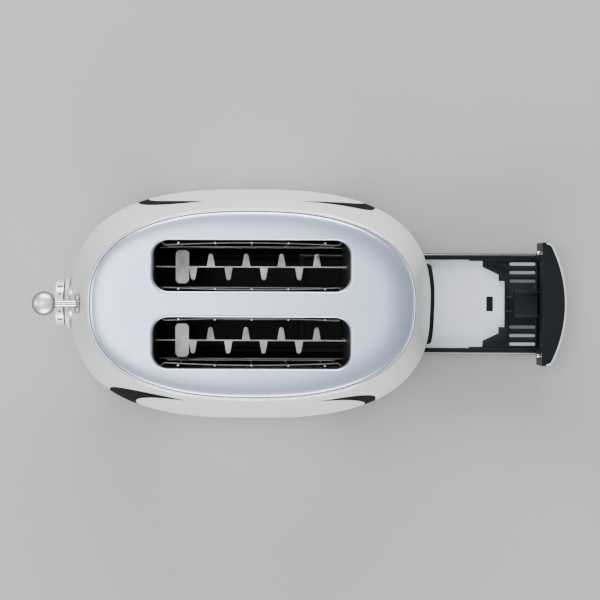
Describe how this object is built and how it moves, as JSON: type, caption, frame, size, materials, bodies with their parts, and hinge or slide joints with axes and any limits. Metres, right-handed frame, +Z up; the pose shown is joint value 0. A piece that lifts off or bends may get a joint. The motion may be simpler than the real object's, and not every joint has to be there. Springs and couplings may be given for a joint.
{
  "type": "two-slice toaster",
  "caption": "Oval two-slice toaster with two long slots, a ball lever, a browning dial and a pull-out crumb tray.",
  "frame": {"origin": "on the bench under the middle of the body: the point in the plane of the feet that is midway between all of them", "axes": "+X along the toaster towards the crumb tray end, the lever and dial end is at -X, +Y across it, +Z up from the bench"},
  "size_m": [0.4705, 0.2018, 0.196],
  "materials": {
    "shell_paint": "satin grey-green lacquer on pressed steel",
    "panel_paint": "satin pale blue-grey lacquer on pressed steel",
    "bright_trim": "bright plated",
    "satin_metal": "fine satin",
    "gloss_black": "gloss black moulding",
    "matte_black": "fine moulded grain",
    "bezel_grey": "grey moulding",
    "rubber_foot": "matt rubber",
    "galvanised": "plain zinc-coated sheet",
    "heat_steel": "steel dulled by heat",
    "bright_wire": "drawn bright wire",
    "mica": "flaky mica board",
    "resistance_ribbon": "dull nickel alloy ribbon",
    "board_green": "lacquered circuit board",
    "pale_plastic": "plain moulding",
    "copper_coil": "enamelled copper winding"
  },
  "bodies": {
    "housing": {"outer_shell": "shell_paint", "top_panel": "panel_paint", "trim_bead": "bright_trim", "horn_inlay_front_left": "gloss_black", "horn_inlay_front_right": "gloss_black", "horn_inlay_rear_left": "gloss_black", "horn_inlay_rear_right": "gloss_black", "rear_band": "gloss_black", "plinth": "matte_black", "rear_panel": "matte_black", "cord_outlet": "matte_black", "dial_bezel": "bezel_grey", "feet": "rubber_foot", "front_bulkhead": "galvanised", "rear_bulkhead": "galvanised", "guide_rod": "galvanised", "base_screws": "galvanised", "magnet_yoke": "galvanised", "side_reflector_left": "heat_steel", "side_reflector_right": "heat_steel", "lift_spring": "heat_steel", "heater_board_left": "mica", "heater_board_centre": "mica", "heater_board_right": "mica", "heater_ribbon_left": "resistance_ribbon", "heater_ribbon_centre": "resistance_ribbon", "heater_ribbon_right": "resistance_ribbon", "control_board": "board_green", "dial_timer": "pale_plastic", "button_switches": "pale_plastic", "contact_block": "pale_plastic", "magnet_coil": "copper_coil"},
    "carriage": {"carriage_bracket": "galvanised", "armature": "galvanised", "bread_rack_left": "heat_steel", "bread_rack_right": "heat_steel", "lever_rod": "bright_trim", "lever_ball": "satin_metal"},
    "shield": {"lever_shield": "bright_trim"},
    "dial": {"browning_dial": "bright_trim", "dial_shaft": "satin_metal"},
    "button_left": {"button_left": "gloss_black"},
    "button_centre": {"button_centre": "gloss_black"},
    "button_right": {"button_right": "gloss_black"},
    "guide_left_a": {"bread_guide_left_a": "bright_wire"},
    "guide_left_b": {"bread_guide_left_b": "bright_wire"},
    "guide_right_a": {"bread_guide_right_a": "bright_wire"},
    "guide_right_b": {"bread_guide_right_b": "bright_wire"},
    "tray": {"tray_frame": "matte_black", "crumb_plate": "satin_metal", "tray_deck": "matte_black", "latch_box": "matte_black", "tray_front": "matte_black", "tray_front_skin": "bright_trim", "tray_pins": "bright_trim"}
  },
  "joints": [
    {"name": "lever_slide", "type": "slide", "parent": "housing", "child": "carriage", "axis": [0, 0, -1], "range_m": [0, 0.046], "stiffness_N_per_m": 100, "springref_m": -0.04, "deforming": ["lift_spring"]},
    {"name": "shield_slide", "type": "slide", "parent": "carriage", "child": "shield", "axis": [-1, 0, 0], "range_m": [0, 0.0092]},
    {"name": "dial_turn", "type": "hinge", "parent": "housing", "child": "dial", "pos_m": [-0.17, 0, 0.066], "axis": [-1, 0, 0], "range_deg": [0, 270]},
    {"name": "tray_slide", "type": "slide", "parent": "housing", "child": "tray", "axis": [1, 0, 0], "range_m": [-0.122, 0.05]},
    {"name": "button_left_press", "type": "slide", "parent": "housing", "child": "button_left", "axis": [1, 0, 0], "range_m": [0, 0.0015], "stiffness_N_per_m": 600, "springref_m": -0.002},
    {"name": "button_centre_press", "type": "slide", "parent": "housing", "child": "button_centre", "axis": [1, 0, 0], "range_m": [0, 0.0015], "stiffness_N_per_m": 600, "springref_m": -0.002},
    {"name": "button_right_press", "type": "slide", "parent": "housing", "child": "button_right", "axis": [1, 0, 0], "range_m": [0, 0.0015], "stiffness_N_per_m": 600, "springref_m": -0.002},
    {"name": "guide_left_a_swing", "type": "hinge", "parent": "housing", "child": "guide_left_a", "pos_m": [0, 0.05, 0.042], "axis": [1, 0, 0], "range_deg": [0, 6]},
    {"name": "guide_left_b_swing", "type": "hinge", "parent": "housing", "child": "guide_left_b", "pos_m": [0, 0.014, 0.042], "axis": [1, 0, 0], "range_deg": [-6, 0]},
    {"name": "guide_right_a_swing", "type": "hinge", "parent": "housing", "child": "guide_right_a", "pos_m": [0, -0.014, 0.042], "axis": [1, 0, 0], "range_deg": [0, 6]},
    {"name": "guide_right_b_swing", "type": "hinge", "parent": "housing", "child": "guide_right_b", "pos_m": [0, -0.05, 0.042], "axis": [1, 0, 0], "range_deg": [-6, 0]}
  ],
  "couplings": [
    {"joint": "shield_slide", "follows": "lever_slide", "ratio": 0.2},
    {"joint": "guide_left_a_swing", "follows": "lever_slide", "rad_per_m": 2.276},
    {"joint": "guide_left_b_swing", "follows": "lever_slide", "rad_per_m": -2.276},
    {"joint": "guide_right_a_swing", "follows": "lever_slide", "rad_per_m": 2.276},
    {"joint": "guide_right_b_swing", "follows": "lever_slide", "rad_per_m": -2.276}
  ]
}
